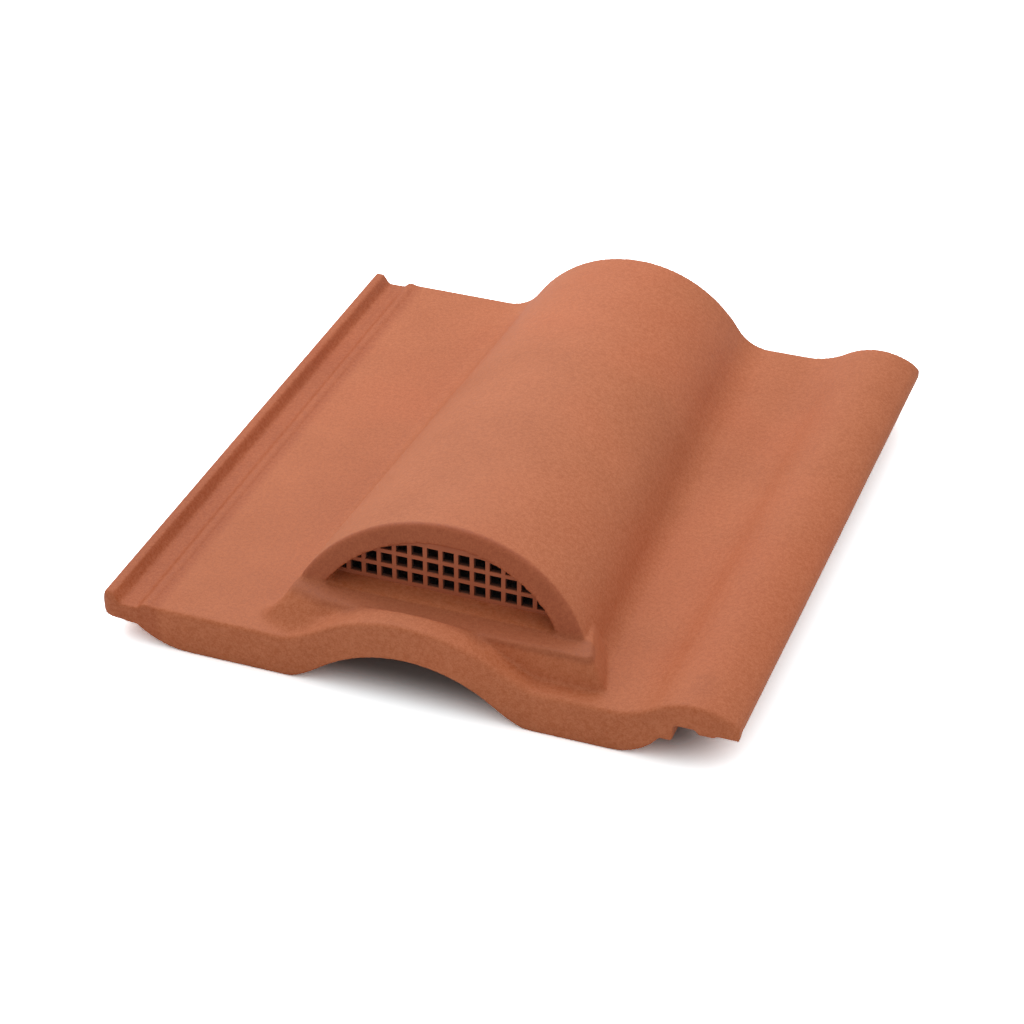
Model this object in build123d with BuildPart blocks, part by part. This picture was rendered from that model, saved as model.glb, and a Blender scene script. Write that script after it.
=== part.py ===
from build123d import *
from math import cos, radians, sin, tan
import os

# Roof vent tile: a double-roll concrete tile whose middle roll swells into a
# hollow hood, with a plastic grille in the hood's mouth.
# X runs across the tile, Y from the foot (negative) to the head (positive),
# Z up. The origin is at the middle of the tile's footprint, on its underside.

# Whole tile
tile_width = 330.0
tile_length = 350.0
pan_height = 22.5
shell = 12.0

# Water channel along the left side
rim_width = 7.5
rim_height = 3.6
rim_slope = 3.8
rim_lean = 3.0
channel_width = 9.2
channel_drop = 2.0
rib_rise_width = 3.2
rib_crest_width = 2.4
rib_height = 0.8
rib_fall_width = 3.3
strip_corner = 7.0
strip_nose_round = 3.0
rim_round = 3.0
edge_round = 5.0
edge_side = 6.0
edge_lift = 2.0
edge_lift_width = 18.0
small_round = 1.6

# Roll along the right side, which laps over the next tile's channel
side_roll_crest = 12.8
side_roll_inset = 22.0
side_roll_radius = 36.0
side_roll_blend = 40.0
edge_chamfer = 2.5
lap_width = 32.5
lap_groove_rise = 4.5
lap_groove_width = 11.0
lap_rib_drop = 1.9
lap_rib_width = 7.5
lap_slot_rise = 1.5
lap_lip_drop = 0.1
lap_lip_width = 2.5
lap_draft = 1.0
lap_nose_depth = 5.0
lap_nose_drop = 0.3
lap_nose_rib_drop = 2.6
lap_nose_web = 5.36

# Middle roll as it shows at the foot
roll_center = -1.5
roll_flank = 43.0
roll_spread = 22.0
roll_flank_rise = 10.0
roll_slope = 31.0
roll_crown = 21.3
roll_end = 16.5
roll_end_slope = 4.0

# Thick nose along the foot
nose_depth = 30.0
nose_back_slope = 8.0
nose_round = 3.0
nose_left_flat = 48.0
nose_left_radius = 43.0
nose_right_flat = 267.0
nose_right_radius = 29.0
heel_lift = 2.7
arch_flank = 45.0
arch_spread = 18.0
arch_flank_rise = 9.0
arch_slope = 37.0
arch_crown = 24.2

# Hood: its section at the head and at the foot end
hood_head_center = 0.2
hood_head_flank = 60.2
hood_head_spread = 18.8
hood_head_rise = 10.0
hood_head_slope = 57.0
hood_head_crown = 42.6
hood_foot_center = 6.0
hood_foot_flank = 78.4
hood_foot_spread = 9.0
hood_foot_rise = 9.0
hood_foot_slope = 74.0
hood_foot_crown = 55.0
hood_wall = 8.5
lip_wall = 9.2
lip_cheek = 2.8
lip_edge_round = 3.0

# Ledge under the mouth, and the mouth itself
ledge_front = 11.0
ledge_lean = 4.0
ledge_height = 16.0
ledge_center = 8.7
ledge_overhang = 1.1
ledge_side_slope = 11.4
ledge_back_center = 5.0
ledge_back_inset = 5.0
ledge_left_round = 7.0
ledge_right_round = 3.5
ledge_round = 2.0
sill_rise = 0.5
lip_front = 26.5
lip_lean = 0.45
grille_seat = 41.0

# Grille
grille_thickness = 2.5
grille_pitch = 8.1
grille_bar = 2.1
grille_frame = 2.6
grille_rail = 2.0
grille_ledge = 1.0
grille_clearance = 0.3

# Nibs that hook over the batten, and the weather bar behind the nose
nib_width = 36.0
nib_depth = 16.0
nib_inset = 14.0
nib_spacing = 204.0
nib_draft = 3.0
bar_depth = 9.0
bar_gap = 14.0
bar_bottom = 4.5
bar_draft = 2.0
bar_left_start = 26.0
bar_left_width = 56.0
bar_right_start = 262.0
bar_right_width = 30.0

left_edge = -tile_width / 2
right_edge = tile_width / 2
foot_edge = -tile_length / 2
head_edge = tile_length / 2
underside = pan_height - shell
sink = shell / 2
over = 1.0
tiny = 0.01


def across(y):
    """Section plane square to the tile's length, at a distance y from the foot."""
    return Plane.XZ.offset(-(foot_edge + y))


def roll_line(center, flank, spread, rise, slope, crown, level):
    """Symmetrical roll: concave at its feet, convex over its crown."""
    turn = radians(slope)
    pull = 4 / 3 * tan(turn / 4) / tan(turn / 2)
    foot_corner = flank + rise / tan(turn)
    crown_corner = flank - (crown - rise) / tan(turn)

    def between(start, end):
        return (start[0] + pull * (end[0] - start[0]), start[1] + pull * (end[1] - start[1]))

    half = []
    for side in (-1, 1):
        foot_point = (center + side * (flank + spread), level)
        flank_point = (center + side * flank, level + rise)
        crown_point = (center, level + crown)
        low = (center + side * foot_corner, level)
        high = (center + side * crown_corner, level + crown)
        half.append((foot_point, between(foot_point, low), between(flank_point, low), flank_point,
                     between(flank_point, high), between(crown_point, high), crown_point))
    left, right = half
    Bezier(*left[:4])
    Bezier(*left[3:])
    Bezier(*right[:2:-1])
    Bezier(*right[3::-1])
    return left[0], right[0]


def inset_roll(flank, spread, rise, slope, crown, wall, cheek=0.0):
    """Inner line of a roll wall, measured from a level one wall lower."""
    turn = radians(slope)
    step = wall * sin(turn) + cheek
    return flank - step, spread + step, rise + wall * (1 - cos(turn)), slope, crown


def arc_run(radius, rise):
    """How far an arc that starts level runs before it has risen by a height."""
    return (radius**2 - (radius - rise) ** 2) ** 0.5


def blend(share, head, foot):
    return head + share * (foot - head)


def hood_shape(y):
    """Centre, flank, spread, rise, slope and crown of the hood at a distance y from the foot."""
    share = 1 - y / tile_length
    center = blend(share, hood_head_center, hood_foot_center)
    flank = blend(share, hood_head_flank, hood_foot_flank)
    spread = blend(share, hood_head_spread, hood_foot_spread)
    rise = blend(share, hood_head_rise, hood_foot_rise)
    slope = blend(share, hood_head_slope, hood_foot_slope)
    crown = blend(share, hood_head_crown, hood_foot_crown)
    return center, (flank, spread, rise, slope, crown)


def hood_line(y, wall, cheek=0.0):
    """Roll line of the hood at a distance y from the foot, set in by a wall thickness."""
    center, outer = hood_shape(y)
    return roll_line(center, *inset_roll(*outer, wall, cheek), pan_height - wall)


def close_down(ends, base):
    """Close a roll line with straight sides down to a base level."""
    start, end = ends
    Polyline(end, (end[0], base), (start[0], base), start)


# Side roll: crest arc and the concave arc that brings it down to the pan
crest_x = right_edge - side_roll_inset
crest_z = pan_height + side_roll_crest
crest_center_z = crest_z - side_roll_radius
blend_center_z = pan_height + side_roll_blend
reach = side_roll_radius + side_roll_blend
side_roll_foot = crest_x - (reach**2 - (blend_center_z - crest_center_z) ** 2) ** 0.5
share_of_reach = side_roll_radius / reach
turn_x = crest_x + (side_roll_foot - crest_x) * share_of_reach
turn_z = crest_center_z + (blend_center_z - crest_center_z) * share_of_reach
edge_x = right_edge - edge_chamfer
edge_z = crest_center_z + (side_roll_radius**2 - (edge_x - crest_x) ** 2) ** 0.5

# Side channel, from the outer rim to the pan
rim_top = pan_height + rim_height
channel_floor = pan_height - channel_drop
rib_top = pan_height + rib_height
rim_end = left_edge + rim_width
channel_start = rim_end + rim_slope
channel_end = channel_start + channel_width
rib_start = channel_end + rib_rise_width
rib_end = rib_start + rib_crest_width
pan_start = rib_end + rib_fall_width
lap_start = right_edge - lap_width

lap_groove_roof = pan_height + lap_groove_rise
lap_slot_roof = pan_height + lap_slot_rise
lap_lip_bottom = pan_height - lap_lip_drop
lap_rib_bottom = pan_height - lap_rib_drop
lap_nose_roof = pan_height - lap_nose_drop
lap_nose_rib = pan_height - lap_nose_rib_drop
lap_nose_edge = edge_z - nose_round - lap_nose_web

# Nose, ledge and mouth
heel_bottom = underside + heel_lift
nose_left_start = left_edge + nose_left_flat - arc_run(nose_left_radius, underside)
nose_right_end = left_edge + nose_right_flat + arc_run(nose_right_radius, heel_bottom)
nose_back = foot_edge + nose_depth + nose_back_slope
ledge_top = pan_height + ledge_height
ledge_edge = foot_edge + ledge_front + ledge_lean
ledge_half_width = hood_foot_flank + ledge_overhang
ledge_back_half = hood_foot_flank - ledge_back_inset
mouth_depth = grille_seat + grille_thickness + grille_ledge
mouth_back = foot_edge + mouth_depth

# Grille
grille_foot = ledge_top + sill_rise
grille_hole = grille_pitch - grille_bar
grille_center = hood_shape(grille_seat)[0]
grille_columns = 2 * round(hood_foot_flank / grille_pitch) - 1
grille_rows = round(hood_foot_crown / grille_pitch) - 1
grid_middle = grille_foot + grille_rail + (grille_hole + (grille_rows - 1) * grille_pitch) / 2

# The hood as a solid, cut back to its leaning lip
with BuildPart() as hood:
    for y in (0, tile_length):
        with BuildSketch(across(y)):
            with BuildLine():
                close_down(hood_line(y, 0), pan_height - sink)
            make_face()
    loft(ruled=True)
    lip_foot = foot_edge + lip_front - lip_lean * ledge_height
    lip_reach = hood_foot_crown + sink
    with BuildSketch(Plane.YZ.offset(left_edge)):
        Polygon((lip_foot - lip_lean * sink, pan_height - sink),
                (lip_foot + lip_lean * lip_reach, pan_height + lip_reach),
                (foot_edge - over, pan_height + lip_reach),
                (foot_edge - over, pan_height - sink), align=None)
    extrude(amount=tile_width, mode=Mode.SUBTRACT)
    lip = hood.faces().sort_by(Axis.Y)[0]
    fillet(lip.edges().filter_by(GeomType.LINE, reverse=True), lip_edge_round)

# What stays solid in front of the hollow and below its sill
with BuildPart() as sill_block:
    with BuildSketch(Plane.YZ.offset(left_edge)):
        Polygon((foot_edge - over, ledge_top),
                (ledge_edge, ledge_top),
                (mouth_back, grille_foot),
                (mouth_back, -2 * over),
                (foot_edge - over, -2 * over), align=None)
    extrude(amount=tile_width)

# Duct under the hood, open at the head
with BuildPart() as duct:
    for y in (grille_seat, tile_length + over):
        with BuildSketch(across(y)):
            with BuildLine():
                close_down(hood_line(y, hood_wall), -over)
            make_face()
    loft(ruled=True)
    add(sill_block.part, mode=Mode.SUBTRACT)

# Mouth in front of the grille, a little narrower than the duct
with BuildPart() as mouth:
    for y in (roll_end, grille_seat):
        with BuildSketch(across(y)):
            with BuildLine():
                close_down(hood_line(y, lip_wall, lip_cheek), -over)
            make_face()
    loft(ruled=True)
    add(sill_block.part, mode=Mode.SUBTRACT)

# Middle roll as it shows at the foot, ending behind its crest at the sill
with BuildPart() as foot_roll:
    with BuildSketch(across(0)):
        with BuildLine():
            close_down(roll_line(roll_center, roll_flank, roll_spread, roll_flank_rise, roll_slope,
                                 roll_crown, pan_height), pan_height - sink)
        make_face()
    extrude(amount=-roll_end)
    with BuildSketch(Plane.YZ.offset(left_edge)):
        Polygon((foot_edge + roll_end, ledge_top),
                (foot_edge + roll_end + over, ledge_top),
                (foot_edge + roll_end + over, ledge_top + roll_crown),
                (foot_edge + roll_end - roll_end_slope, pan_height + roll_crown), align=None)
    extrude(amount=tile_width, mode=Mode.SUBTRACT)

# Ledge that fills the mouth up to the sill
with BuildPart() as ledge:
    for level, spread, front_edge in (
        (pan_height - sink, ledge_side_slope, foot_edge + ledge_front),
        (ledge_top, 0, ledge_edge),
    ):
        with BuildSketch(Plane.XY.offset(level)):
            Polygon((ledge_center - ledge_half_width - spread, front_edge),
                    (ledge_center + ledge_half_width + spread, front_edge),
                    (ledge_back_center + ledge_back_half + spread, mouth_back),
                    (ledge_back_center - ledge_back_half - spread, mouth_back), align=None)
    loft(ruled=True)
    for end, corner_round in ((0, ledge_left_round), (-1, ledge_right_round)):
        corners = ledge.edges().filter_by(
            lambda e: e.center().Y < mouth_back - over
            and pan_height - sink + over < e.center().Z < ledge_top - over).sort_by(Axis.X)
        fillet(corners[end], corner_round)
    fillet(ledge.edges().filter_by(lambda e: e.center().Y < mouth_back - over
                                   and e.center().Z > ledge_top - tiny), ledge_round)

# Thick nose under the foot edge
with BuildPart() as nose:
    with BuildSketch(across(0)):
        with BuildLine():
            flat_left = (left_edge + nose_left_flat, 0)
            flat_right = (left_edge + nose_right_flat, 0)
            left_arc = TangentArc(flat_left, (nose_left_start, underside), tangent=(-1, 0))
            right_arc = TangentArc(flat_right, (nose_right_end, heel_bottom), tangent=(1, 0))
            Line(flat_left, flat_right)
            Polyline(left_arc @ 1, (nose_left_start, underside + sink), (lap_start, underside + sink),
                     (lap_start, heel_bottom), right_arc @ 1)
        make_face()
    extrude(amount=-(nose_depth + nose_back_slope))
    with BuildSketch(Plane.YZ.offset(left_edge)):
        Polygon((foot_edge + nose_depth, 0),
                (nose_back, underside),
                (nose_back + over, underside),
                (nose_back + over, -over),
                (foot_edge + nose_depth, -over), align=None)
    extrude(amount=tile_width, mode=Mode.SUBTRACT)

# Hollow under the middle roll, from the foot edge to the duct
with BuildPart() as arch:
    with BuildSketch(across(-over)):
        with BuildLine():
            close_down(roll_line(roll_center, arch_flank, arch_spread, arch_flank_rise, arch_slope,
                                 arch_crown, 0), -over)
        make_face()
    extrude(amount=-(mouth_depth + 2 * over))

# Channel along the left side, with its rounded corner and rounded end at the foot
with BuildPart() as side_channel:
    with BuildSketch(across(0)) as channel_section:
        with BuildLine():
            Polyline(
                (pan_start, underside),
                (left_edge + edge_lift_width, underside),
                (left_edge, underside + edge_lift),
                (left_edge, underside + edge_lift + edge_side),
                (left_edge + rim_lean, rim_top),
                (rim_end, rim_top),
                (channel_start, channel_floor),
                (channel_end, channel_floor),
                (rib_start, rib_top),
                (rib_end, rib_top),
                (pan_start, pan_height),
                close=True,
            )
        make_face()
        side_corners = channel_section.vertices().sort_by(Axis.X)[:3].sort_by(Axis.Y)
        fillet(side_corners[0], edge_round)
        fillet(side_corners[-1], rim_round)
        fillet(channel_section.vertices().filter_by(
            lambda v: rim_end - tiny < v.X < pan_start - over and v.Y > underside + sink), small_round)
    extrude(amount=-tile_length)
    with BuildSketch(Plane.XY.offset(-over)):
        with Locations((left_edge + strip_corner / 2, foot_edge + strip_corner / 2)):
            Rectangle(strip_corner, strip_corner)
        with Locations((left_edge + strip_corner, foot_edge + strip_corner)):
            Circle(strip_corner, mode=Mode.SUBTRACT)
    extrude(amount=crest_z, mode=Mode.SUBTRACT)
    with BuildSketch(Plane.YZ.offset(left_edge - over)):
        with Locations((foot_edge + strip_nose_round / 2, rim_top - strip_nose_round / 2)):
            Rectangle(strip_nose_round, strip_nose_round)
        with Locations((foot_edge + strip_nose_round, rim_top - strip_nose_round)):
            Circle(strip_nose_round, mode=Mode.SUBTRACT)
    extrude(amount=pan_start - left_edge + 2 * over, mode=Mode.SUBTRACT)

with BuildPart() as tile_body:
    # Flat pans and the side roll with its lap underneath
    with BuildSketch(across(0)):
        with BuildLine():
            left_pan = Line((pan_start, pan_height), (side_roll_foot, pan_height))
            rise_arc = TangentArc(left_pan @ 1, (turn_x, turn_z), tangent=(1, 0))
            crest_arc = TangentArc(rise_arc @ 1, (edge_x, edge_z), tangent=rise_arc % 1)
            groove_end = lap_start + lap_draft + lap_groove_width
            rib_side = groove_end + lap_draft
            rib_far = rib_side + lap_rib_width
            lip_side = right_edge - lap_lip_width
            Polyline(
                crest_arc @ 1,
                (right_edge, edge_z - edge_chamfer),
                (right_edge, lap_lip_bottom),
                (lip_side, lap_lip_bottom),
                (lip_side - lap_draft, lap_slot_roof),
                (rib_far + lap_draft, lap_slot_roof),
                (rib_far, lap_rib_bottom),
                (rib_side, lap_rib_bottom),
                (groove_end, lap_groove_roof),
                (lap_start + lap_draft, lap_groove_roof),
                (lap_start, heel_bottom),
                (nose_right_end, heel_bottom),
                (nose_right_end - heel_lift, underside),
                (pan_start, underside),
                (pan_start, pan_height),
            )
        make_face()
    extrude(amount=-tile_length)
    add(foot_roll.part)

    # Front end of the side lap, closed over the groove
    with BuildSketch(across(0)):
        with BuildLine():
            Polyline((lap_start - over, lap_groove_roof + over), (lap_start - over, lap_nose_roof),
                     (groove_end - lap_draft, lap_nose_roof), (rib_side, lap_nose_rib),
                     (rib_far, lap_nose_rib), (rib_far + lap_draft, lap_nose_edge),
                     (right_edge, lap_nose_edge), (right_edge, lap_lip_bottom + over),
                     (rib_far, lap_groove_roof), close=True)
        make_face()
    extrude(amount=-lap_nose_depth)

    # Rounded front edge, from the channel to the right side
    front = tile_body.faces().sort_by(Axis.Y)[0]
    fillet(front.edges().filter_by(lambda e: e.center().Z > pan_height - tiny
                                   and e.center().X < right_edge - tiny), nose_round)
    add(nose.part)
    add(side_channel.part)
    add(hood.part)
    add(duct.part, mode=Mode.SUBTRACT)
    add(mouth.part, mode=Mode.SUBTRACT)
    add(ledge.part)
    add(arch.part, mode=Mode.SUBTRACT)

    # Nibs under the head edge, with an upright bearing face toward the foot
    nib_face = head_edge - nib_inset - nib_depth
    for side in (-1, 1):
        with BuildSketch(Plane.YZ.offset(side * nib_spacing / 2 - nib_width / 2)):
            Polygon((nib_face, underside + sink),
                    (nib_face, 0),
                    (nib_face + nib_depth - nib_draft, 0),
                    (nib_face + nib_depth, underside + sink), align=None)
        extrude(amount=nib_width)
    chamfer(tile_body.edges().filter_by(Axis.Y).filter_by(
        lambda e: e.center().Z < tiny and e.center().Y > nib_face), nib_draft)

    # Weather bars under the pans
    bar_middle = nose_back + bar_gap + bar_depth / 2
    for start, width in ((bar_left_start, bar_left_width), (bar_right_start, bar_right_width)):
        with BuildSketch(Plane.XY.offset(underside + sink)):
            with Locations((left_edge + start + width / 2, bar_middle)):
                Rectangle(width, bar_depth)
        with BuildSketch(Plane.XY.offset(bar_bottom)):
            with Locations((left_edge + start + width / 2, bar_middle)):
                Rectangle(width - 2 * bar_draft, bar_depth - 2 * bar_draft)
        loft(ruled=True)
tile_body.part.label = "tile_body"

# Grille that stands on the sill, behind the cheeks of the mouth
with BuildPart() as vent_grille:
    with BuildSketch(across(grille_seat)) as grille_sketch:
        with BuildLine():
            close_down(hood_line(grille_seat, hood_wall + grille_clearance), -over)
        make_face()
        with Locations((0, grille_foot - tile_width)):
            Rectangle(tile_width, 2 * tile_width, mode=Mode.SUBTRACT)
    extrude(amount=-grille_thickness)
    with BuildSketch(across(grille_seat)):
        with BuildLine():
            close_down(hood_line(grille_seat, hood_wall + grille_clearance + grille_frame), -over)
        make_face()
        with Locations((0, grille_foot + grille_rail - tile_width)):
            Rectangle(tile_width, 2 * tile_width, mode=Mode.SUBTRACT)
        with Locations((grille_center, grid_middle)):
            with GridLocations(grille_pitch, grille_pitch, grille_columns, grille_rows):
                Rectangle(grille_hole, grille_hole, mode=Mode.INTERSECT)
    extrude(amount=-grille_thickness, mode=Mode.SUBTRACT)
vent_grille.part.label = "vent_grille"

os.makedirs("parts", exist_ok=True)
export_step(tile_body.part, "parts/tile_body.step")
export_step(vent_grille.part, "parts/vent_grille.step")
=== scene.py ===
import bmesh
import bpy
from mathutils import Matrix, Vector, noise


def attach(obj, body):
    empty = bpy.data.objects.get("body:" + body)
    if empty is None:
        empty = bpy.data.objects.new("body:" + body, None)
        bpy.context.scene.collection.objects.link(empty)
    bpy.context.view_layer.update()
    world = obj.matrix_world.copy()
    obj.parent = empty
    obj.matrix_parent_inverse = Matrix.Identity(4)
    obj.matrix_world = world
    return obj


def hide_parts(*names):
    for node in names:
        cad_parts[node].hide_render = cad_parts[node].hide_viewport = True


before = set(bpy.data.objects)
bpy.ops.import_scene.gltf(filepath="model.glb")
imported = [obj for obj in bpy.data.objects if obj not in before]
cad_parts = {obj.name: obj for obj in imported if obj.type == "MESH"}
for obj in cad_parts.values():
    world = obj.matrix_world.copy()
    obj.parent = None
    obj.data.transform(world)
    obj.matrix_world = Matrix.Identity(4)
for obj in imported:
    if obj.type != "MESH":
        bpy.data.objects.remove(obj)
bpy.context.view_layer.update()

# Tile body.
# One casting of through-coloured concrete, pressed wet in a metal mould and cured, so every
# edge is softly rounded and the flat faces are a little uneven.
WELD_DISTANCE = 0.000002
MELT_SIZE = 0.00085
MELT_FACTOR = 0.5
MELT_PASSES = 2


def harden(piece):
    """Makes what the piece's modifiers give its mesh, and takes them off."""
    finished = piece.evaluated_get(bpy.context.evaluated_depsgraph_get())
    mesh = bpy.data.meshes.new_from_object(finished)
    piece.modifiers.clear()
    piece.data = mesh
    return mesh


cast = bmesh.new()
cast.from_mesh(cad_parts["tile_body"].data)
bmesh.ops.remove_doubles(cast, verts=cast.verts, dist=WELD_DISTANCE)
tile_mesh = bpy.data.meshes.new("cast_tile")
cast.to_mesh(tile_mesh)
cast.free()
tile = bpy.data.objects.new("cast_tile", tile_mesh)
bpy.context.collection.objects.link(tile)

melt = tile.modifiers.new("melt", "REMESH")
melt.mode = "VOXEL"
melt.voxel_size = MELT_SIZE
soften = tile.modifiers.new("soften", "SMOOTH")
soften.factor = MELT_FACTOR
soften.iterations = MELT_PASSES
melted = harden(tile)

# The ledge's left corner runs down to the pan and the foot roll in one worn slope. What stands
# above the slope's plane is cut down to it, and the hollow outside the ledge is filled up to it.
SLOPE_POINT = Vector((-0.066, -0.153, 0.0385))
SLOPE_NORMAL = Vector((-0.219, -0.668, 0.711))
SLOPE_FOOT = 0.0225
SLOPE_PASSES = 130
CORNER_X = (-0.100, -0.034)
CORNER_Y = (-0.173, -0.136)
CORNER_Z = (0.0215, 0.042)
# Each pair below runs from no effect to full effect.
TOWARDS_ROLL = (-0.034, -0.052)
CUT_FROM_FRONT = (-0.1665, -0.1645)
FILL_OUTWARD = (0.002, 0.005)
FILL_FROM_LEFT = (-0.086, -0.076)
FILL_FROM_FRONT = (-0.172, -0.166)
SOFT_FROM_ROLL = (-0.034, -0.046)
SOFT_FROM_FRONT = (-0.173, -0.168)
SOFT_FROM_BACK = (-0.136, -0.148)
SOFT_FROM_TOP = (0.042, 0.0395)


def share(value, start, end):
    """Runs softly from 0 at start to 1 at end."""
    step = min(max((value - start) / (end - start), 0.0), 1.0)
    return step * step * (3.0 - 2.0 * step)


worn = tile.vertex_groups.new(name="worn_corner")
for corner in melted.vertices:
    x, y, z = corner.co
    if not (CORNER_X[0] < x < CORNER_X[1] and CORNER_Y[0] < y < CORNER_Y[1]
            and CORNER_Z[0] < z < CORNER_Z[1]):
        continue
    from_plane = corner.co - SLOPE_POINT
    off = from_plane.dot(SLOPE_NORMAL)
    if off > 0.0:
        down_to_pan = (z - SLOPE_FOOT) / SLOPE_NORMAL.z
        off = max(min(off, down_to_pan), 0.0) * share(y, *CUT_FROM_FRONT)
    else:
        outward = from_plane.xy.dot(SLOPE_NORMAL.xy.normalized())
        off *= (share(outward, *FILL_OUTWARD) * share(x, *FILL_FROM_LEFT)
                * share(y, *FILL_FROM_FRONT))
    off *= share(x, *TOWARDS_ROLL)
    corner.co -= SLOPE_NORMAL * off
    soft = (share(x, *SOFT_FROM_ROLL) * share(y, *SOFT_FROM_FRONT) * share(y, *SOFT_FROM_BACK)
            * share(z, *SOFT_FROM_TOP))
    worn.add([corner.index], soft, "REPLACE")
wear = tile.modifiers.new("wear", "SMOOTH")
wear.vertex_group = worn.name
wear.iterations = SLOPE_PASSES

# Faces are thinned where the tile is flat. Then its faces swell and sink by a fraction of a
# millimetre, and its feet stay on the floor.
FACE_SHARE = 0.195
SWELL_HEIGHT = 0.00022
SWELL_SIZE = 0.045
SWELL_SEED = 7

thin = tile.modifiers.new("thin", "DECIMATE")
thin.ratio = FACE_SHARE
melted = harden(tile)
tile.vertex_groups.clear()
noise.seed_set(SWELL_SEED)
for corner in melted.vertices:
    corner.co += noise.noise_vector(corner.co / SWELL_SIZE) * SWELL_HEIGHT
    corner.co.z = max(corner.co.z, 0.0)
for face in melted.polygons:
    face.use_smooth = True
evened = tile.modifiers.new("evened", "WEIGHTED_NORMAL")
evened.mode = "FACE_AREA"

# Sandy grain, shared by the concrete and the moulded grille.
# Fine grains of lighter and darker sand, clumped a little, as speckles for the colour and as
# a height for the bump.
FINE_GRAIN = {"Detail": 3.0, "Roughness": 0.65}
CLUMP_GRAIN = {"Detail": 2.0}
CLUMP_SCALE = 0.38
CLUMP_SHARE = 0.6
SPECKLE_RANGE = (0.62, 0.98)


def ranged(tree, source, start, end, low=0.0, high=1.0, soft=True):
    """A value that runs from low where the source is start to high where it is end."""
    run = tree.nodes.new("ShaderNodeMapRange")
    run.interpolation_type = "SMOOTHSTEP" if soft else "LINEAR"
    for socket, value in (("From Min", start), ("From Max", end),
                          ("To Min", low), ("To Max", high)):
        run.inputs[socket].default_value = value
    tree.links.new(source, run.inputs["Value"])
    return run.outputs["Result"]


def reckoned(tree, operation, *terms):
    """A Math node whose terms are sockets to link or plain numbers."""
    reckon = tree.nodes.new("ShaderNodeMath")
    reckon.operation = operation
    for socket, term in zip(reckon.inputs, terms):
        if isinstance(term, float):
            socket.default_value = term
        else:
            tree.links.new(term, socket)
    return reckon.outputs[0]


def clouds(tree, place, settings, scale=None):
    """A noise over the piece's own place, with its scale a number or a socket."""
    cloud = tree.nodes.new("ShaderNodeTexNoise")
    for socket, value in settings.items():
        cloud.inputs[socket].default_value = value
    if scale is not None:
        tree.links.new(scale, cloud.inputs["Scale"])
    tree.links.new(place.outputs["Object"], cloud.inputs["Vector"])
    return cloud.outputs["Fac"]


grain = bpy.data.node_groups.new("sandy_grain", "ShaderNodeTree")
grain.interface.new_socket("Scale", in_out="INPUT", socket_type="NodeSocketFloat")
grain.interface.new_socket("Speckle", in_out="OUTPUT", socket_type="NodeSocketFloat")
grain.interface.new_socket("Height", in_out="OUTPUT", socket_type="NodeSocketFloat")
grain_in = grain.nodes.new("NodeGroupInput")
grain_out = grain.nodes.new("NodeGroupOutput")
place = grain.nodes.new("ShaderNodeTexCoord")
fine = clouds(grain, place, FINE_GRAIN, grain_in.outputs["Scale"])
clump = clouds(grain, place, CLUMP_GRAIN,
               reckoned(grain, "MULTIPLY", grain_in.outputs["Scale"], CLUMP_SCALE))
height = reckoned(grain, "MULTIPLY_ADD", clump, CLUMP_SHARE, fine)
speckle = ranged(grain, height, *SPECKLE_RANGE, soft=False)
grain.links.new(speckle, grain_out.inputs["Speckle"])
grain.links.new(height, grain_out.inputs["Height"])

# Concrete finish.
# Terracotta pigment right through, mottled where the surface dried unevenly. It is darker and
# redder in the channel and lower down on the pans. Painted shade darkens the sill and lip in the
# mouth.
CONCRETE_SHINE = 0.5
CONCRETE_ROUGHNESS = (0.60, 0.78)
CONCRETE_GRAIN_SCALE = 1300.0
CONCRETE_BUMP = {"Strength": 0.35, "Distance": 0.0003}
CONCRETE_TONES = ((0.425, 0.118, 0.038), (0.490, 0.146, 0.054))
CONCRETE_CLOUDS = {"Scale": 16.0, "Detail": 5.0, "Roughness": 0.6}
CONCRETE_CLOUD_RANGE = (0.3, 0.7)
BLUSH_TONE = (0.480, 0.118, 0.037)
BLUSH_CLOUDS = {"Scale": 9.0, "Detail": 3.0}
BLUSH_RANGE = (0.5, 0.75)
BLUSH_SHARE = 0.6
SAND_TONE = (0.105, 0.060, 0.042)
# Each edge runs from bare concrete to full tone, along X, Z, or Y leaning with the lip.
# The channel strip along the left edge is darker and redder.
CHANNEL_TONE = (0.87, 0.76, 0.64)
CHANNEL_EDGE = (-0.130, -0.136)
# Surfaces below about 28 mm, such as the pans, are a little darker and redder, fading out by 55
# mm.
PAN_TONE = (0.975, 0.93, 0.87)
PAN_EDGE = (0.055, 0.028)
# Painted shade: the sill and foot roll in front of the lip are darkened where the hood's shadow
# falls.
MOUTH_SHADE_TONE = (0.77, 0.70, 0.62)
LIP_LEAN = -0.45
MOUTH_SHADE_BACK_EDGE = (-0.1625, -0.1650)
MOUTH_SHADE_FRONT_EDGE = (-0.1850, -0.1765)
MOUTH_SHADE_FOOT_EDGE = (0.0340, 0.0375)
# Painted shade: the lip face over the sill is darkened further.
LIP_SHADE_TONE = (1.00, 0.90, 0.87)
LIP_SHADE_EDGE = (0.0395, 0.0430)


def mixed(tree, factor, first, second, how="MIX"):
    """A colour mix whose colours are sockets to link or plain tones."""
    mix = tree.nodes.new("ShaderNodeMix")
    mix.data_type = "RGBA"
    mix.blend_type = how
    tree.links.new(factor, mix.inputs["Factor"])
    for socket, tone in ((mix.inputs[6], first), (mix.inputs[7], second)):
        if isinstance(tone, tuple):
            socket.default_value = (*tone, 1)
        else:
            tree.links.new(tone, socket)
    return mix.outputs[2]


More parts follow.
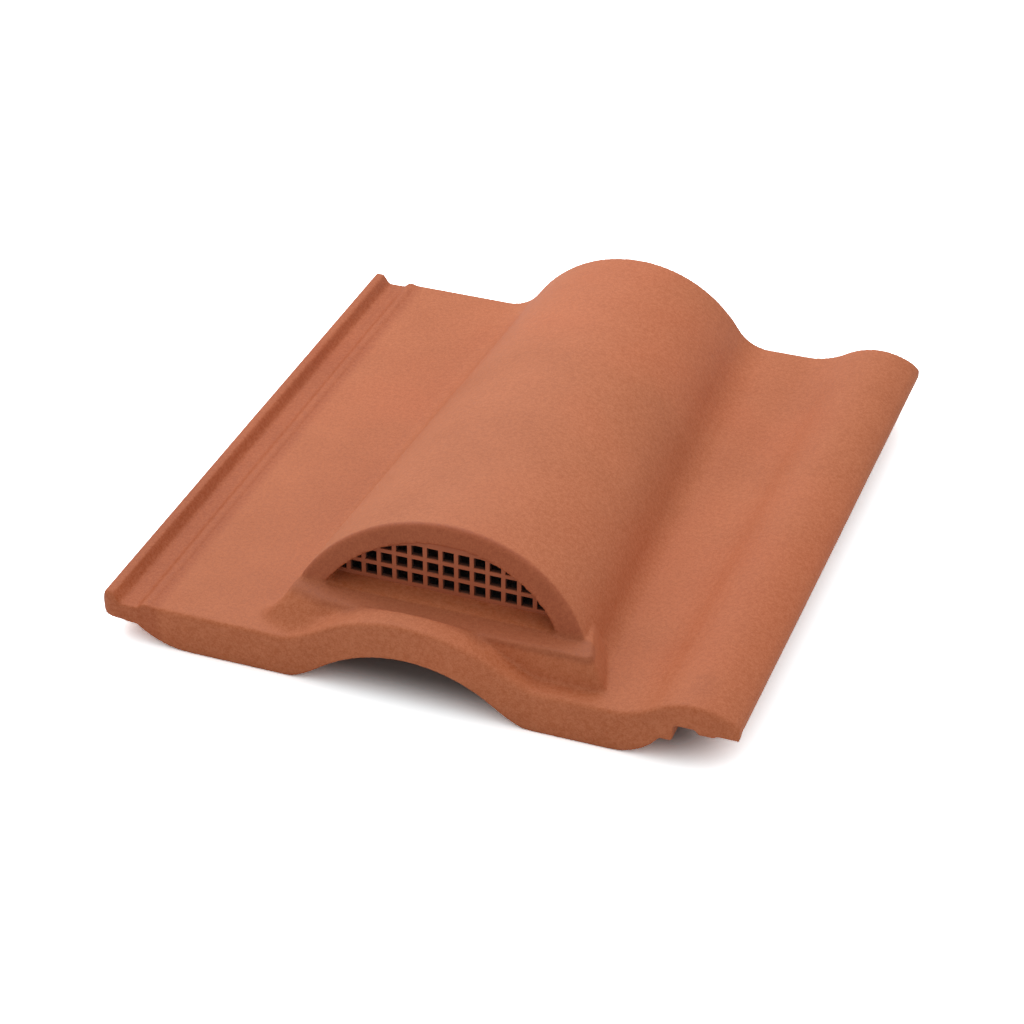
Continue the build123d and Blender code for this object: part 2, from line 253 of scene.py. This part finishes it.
def grained(tree, shader, scale, roughness, bump_settings):
    """Sets the sandy grain on the shader's roughness and normal, and gives the speckle."""
    sand = tree.nodes.new("ShaderNodeGroup")
    sand.node_tree = grain
    sand.inputs["Scale"].default_value = scale
    bump = tree.nodes.new("ShaderNodeBump")
    for socket, value in bump_settings.items():
        bump.inputs[socket].default_value = value
    rough = ranged(tree, sand.outputs["Speckle"], 0.0, 1.0, *roughness, soft=False)
    tree.links.new(rough, shader.inputs["Roughness"])
    tree.links.new(sand.outputs["Height"], bump.inputs["Height"])
    tree.links.new(bump.outputs["Normal"], shader.inputs["Normal"])
    return sand.outputs["Speckle"]


concrete = bpy.data.materials.new("terracotta_concrete")
concrete.use_nodes = True
tree = concrete.node_tree
shader = tree.nodes["Principled BSDF"]
shader.inputs["Specular IOR Level"].default_value = CONCRETE_SHINE
speckle = grained(tree, shader, CONCRETE_GRAIN_SCALE, CONCRETE_ROUGHNESS, CONCRETE_BUMP)

place = tree.nodes.new("ShaderNodeTexCoord")
apart = tree.nodes.new("ShaderNodeSeparateXYZ")
tree.links.new(place.outputs["Object"], apart.inputs[0])
across, along, level = apart.outputs
mottle = ranged(tree, clouds(tree, place, CONCRETE_CLOUDS), *CONCRETE_CLOUD_RANGE, soft=False)
blush = ranged(tree, clouds(tree, place, BLUSH_CLOUDS), *BLUSH_RANGE, high=BLUSH_SHARE, soft=False)
colour = mixed(tree, mottle, *CONCRETE_TONES)
colour = mixed(tree, blush, colour, BLUSH_TONE)
colour = mixed(tree, ranged(tree, across, *CHANNEL_EDGE), colour, CHANNEL_TONE, "MULTIPLY")
colour = mixed(tree, ranged(tree, level, *PAN_EDGE), colour, PAN_TONE, "MULTIPLY")

speckled = tree.nodes.new("ShaderNodeVectorMath")
speckled.operation = "MULTIPLY_ADD"
speckled.inputs[1].default_value = SAND_TONE
tree.links.new(ranged(tree, speckle, 0.0, 1.0, -0.5, 0.5, soft=False), speckled.inputs[0])
tree.links.new(colour, speckled.inputs[2])

# The mouth band leans with the lip and places the painted shade on the sill and the lip face.
leaning = reckoned(tree, "MULTIPLY_ADD", level, LIP_LEAN, along)
mouth_shade = reckoned(tree, "MULTIPLY", ranged(tree, leaning, *MOUTH_SHADE_BACK_EDGE),
                 ranged(tree, level, *MOUTH_SHADE_FOOT_EDGE))
mouth_shade = reckoned(tree, "MULTIPLY", mouth_shade, ranged(tree, leaning, *MOUTH_SHADE_FRONT_EDGE))
lip_shade = reckoned(tree, "MULTIPLY", ranged(tree, level, *LIP_SHADE_EDGE), mouth_shade)
colour = mixed(tree, mouth_shade, speckled.outputs[0], MOUTH_SHADE_TONE, "MULTIPLY")
colour = mixed(tree, lip_shade, colour, LIP_SHADE_TONE, "MULTIPLY")
tree.links.new(colour, shader.inputs["Base Color"])

melted.materials.clear()
melted.materials.append(concrete)
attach(tile, "root")
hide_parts("tile_body")

# Vent grille.
# One plastic moulding in the tile's colour: a thin half-round frame with a square mesh, set
# behind the mouth's cheeks to keep birds and leaves out. The back of its bars is darkened by
# painted shade.
GRILLE_SHINE = 0.35
GRILLE_ROUGHNESS = (0.58, 0.74)
GRILLE_GRAIN_SCALE = 2400.0
GRILLE_BUMP = {"Strength": 0.2, "Distance": 0.0001}
GRILLE_TONES = ((0.375, 0.102, 0.044), (0.460, 0.136, 0.064))
GRILLE_CLOUDS = {"Scale": 60.0, "Detail": 4.0}
# Painted shade: the back of the bars, inside the duct, is near black.
GRILLE_BACK_SHADE = (0.120, 0.045, 0.028)
GRILLE_BACK_SHADE_EDGE = (-0.1337, -0.1328)

moulding = bpy.data.materials.new("moulded_terracotta_plastic")
moulding.use_nodes = True
tree = moulding.node_tree
shader = tree.nodes["Principled BSDF"]
shader.inputs["Specular IOR Level"].default_value = GRILLE_SHINE
grained(tree, shader, GRILLE_GRAIN_SCALE, GRILLE_ROUGHNESS, GRILLE_BUMP)

place = tree.nodes.new("ShaderNodeTexCoord")
apart = tree.nodes.new("ShaderNodeSeparateXYZ")
tree.links.new(place.outputs["Object"], apart.inputs[0])
colour = mixed(tree, clouds(tree, place, GRILLE_CLOUDS), *GRILLE_TONES)
colour = mixed(tree, ranged(tree, apart.outputs["Y"], *GRILLE_BACK_SHADE_EDGE), colour, GRILLE_BACK_SHADE)
tree.links.new(colour, shader.inputs["Base Color"])

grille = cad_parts["vent_grille"]
grille.data.materials.clear()
grille.data.materials.append(moulding)

# Floor.
# A plain white sweep that the tile lies on. The camera sees it as open white with the tile's
# shadow. Underneath the tile painted shade darkens it, as the camera sees it and in the light it
# throws back.
FLOOR_HALF = 6.0
OPEN_SEEN = (2.27, 2.46, 2.52)
# Painted shade: under the tile the floor is darkened, deeper towards the middle.
UNDER_SHADE_SEEN = (0.35, 0.36, 0.36)
OPEN_LIT = (0.85, 0.85, 0.85)
UNDER_SHADE_LIT = (0.35, 0.35, 0.35)
UNDER_SHADE_EDGE_X = (0.165, 0.122)
UNDER_SHADE_EDGE_Y = (0.183, 0.150)
DEEP_SHADE_EDGE = (0.150, 0.120)
DEEP_SHADE_SHARE = 0.3

floor_mesh = bpy.data.meshes.new("floor")
ground = bmesh.new()
bmesh.ops.create_grid(ground, x_segments=1, y_segments=1, size=FLOOR_HALF)
ground.to_mesh(floor_mesh)
ground.free()
floor = bpy.data.objects.new("floor", floor_mesh)
bpy.context.collection.objects.link(floor)

paper = bpy.data.materials.new("white_paper")
paper.use_nodes = True
tree = paper.node_tree
tree.nodes.clear()
place = tree.nodes.new("ShaderNodeTexCoord")
beside = tree.nodes.new("ShaderNodeVectorMath")
beside.operation = "ABSOLUTE"
apart = tree.nodes.new("ShaderNodeSeparateXYZ")
tree.links.new(place.outputs["Object"], beside.inputs[0])
tree.links.new(beside.outputs[0], apart.inputs[0])
across, along, level = apart.outputs
under_shade = reckoned(tree, "MULTIPLY", ranged(tree, across, *UNDER_SHADE_EDGE_X),
                 ranged(tree, along, *UNDER_SHADE_EDGE_Y))
deepened_shade = tree.nodes.new("ShaderNodeVectorMath")
deepened_shade.operation = "SCALE"
deepened_shade.inputs[0].default_value = UNDER_SHADE_SEEN
tree.links.new(ranged(tree, along, *DEEP_SHADE_EDGE, 1.0, DEEP_SHADE_SHARE), deepened_shade.inputs["Scale"])
seen = mixed(tree, under_shade, OPEN_SEEN, deepened_shade.outputs[0])
lit = mixed(tree, under_shade, OPEN_LIT, UNDER_SHADE_LIT)
ray = tree.nodes.new("ShaderNodeLightPath")
matte = tree.nodes.new("ShaderNodeBsdfDiffuse")
output = tree.nodes.new("ShaderNodeOutputMaterial")
tree.links.new(mixed(tree, ray.outputs["Is Camera Ray"], lit, seen), matte.inputs["Color"])
tree.links.new(matte.outputs[0], output.inputs["Surface"])
floor_mesh.materials.append(paper)

# Light.
# An evenly lit pale room, brighter behind the tile, and one big soft lamp overhead, a little
# to the left and behind. The camera sees the room as plain white.
WALL_STRENGTH = (0.66, 0.86)
LAMP_PLACE = Vector((-0.43, 0.49, 0.95))
LAMP_SIZE = 1.07
LAMP_ENERGY = 7.1

room = bpy.data.worlds.new("room")
room.use_nodes = True
tree = room.node_tree
background = tree.nodes["Background"]
background.inputs["Color"].default_value = (1, 1, 1, 1)
facing = tree.nodes.new("ShaderNodeTexCoord")
apart = tree.nodes.new("ShaderNodeSeparateXYZ")
tree.links.new(facing.outputs["Generated"], apart.inputs[0])
ray = tree.nodes.new("ShaderNodeLightPath")
backdrop = tree.nodes.new("ShaderNodeMix")
backdrop.inputs[3].default_value = 1.0
tree.links.new(ray.outputs["Is Camera Ray"], backdrop.inputs["Factor"])
tree.links.new(ranged(tree, apart.outputs["Y"], -1.0, 1.0, *WALL_STRENGTH, soft=False),
               backdrop.inputs[2])
tree.links.new(backdrop.outputs[0], background.inputs["Strength"])
bpy.context.scene.world = room

lamp_data = bpy.data.lights.new("softbox", "AREA")
lamp_data.shape = "DISK"
lamp_data.size = LAMP_SIZE
lamp_data.energy = LAMP_ENERGY
lamp = bpy.data.objects.new("softbox", lamp_data)
bpy.context.collection.objects.link(lamp)
lamp.location = LAMP_PLACE
lamp.rotation_euler = LAMP_PLACE.to_track_quat("Z", "Y").to_euler()

# Camera.
# It stands in front of the foot edge, a little to the right, and looks down at the tile.
CAMERA_PLACE = Vector((0.4283, -1.1802, 0.8322))
CAMERA_BACK = Vector((0.2915, -0.7817, 0.5514))
CAMERA_UP = Vector((-0.1927, 0.5167, 0.8343))
CAMERA_LENS = 99.84
CAMERA_SENSOR = 36.0

camera_data = bpy.data.cameras.new("camera")
camera_data.sensor_width = CAMERA_SENSOR
camera_data.lens = CAMERA_LENS
camera = bpy.data.objects.new("camera", camera_data)
bpy.context.collection.objects.link(camera)
camera_right = CAMERA_UP.cross(CAMERA_BACK)
camera.matrix_world = Matrix.Translation(CAMERA_PLACE) @ Matrix(
    (camera_right, CAMERA_UP, CAMERA_BACK)).transposed().to_4x4()
bpy.context.scene.camera = camera
bpy.context.scene.view_settings.view_transform = "Standard"
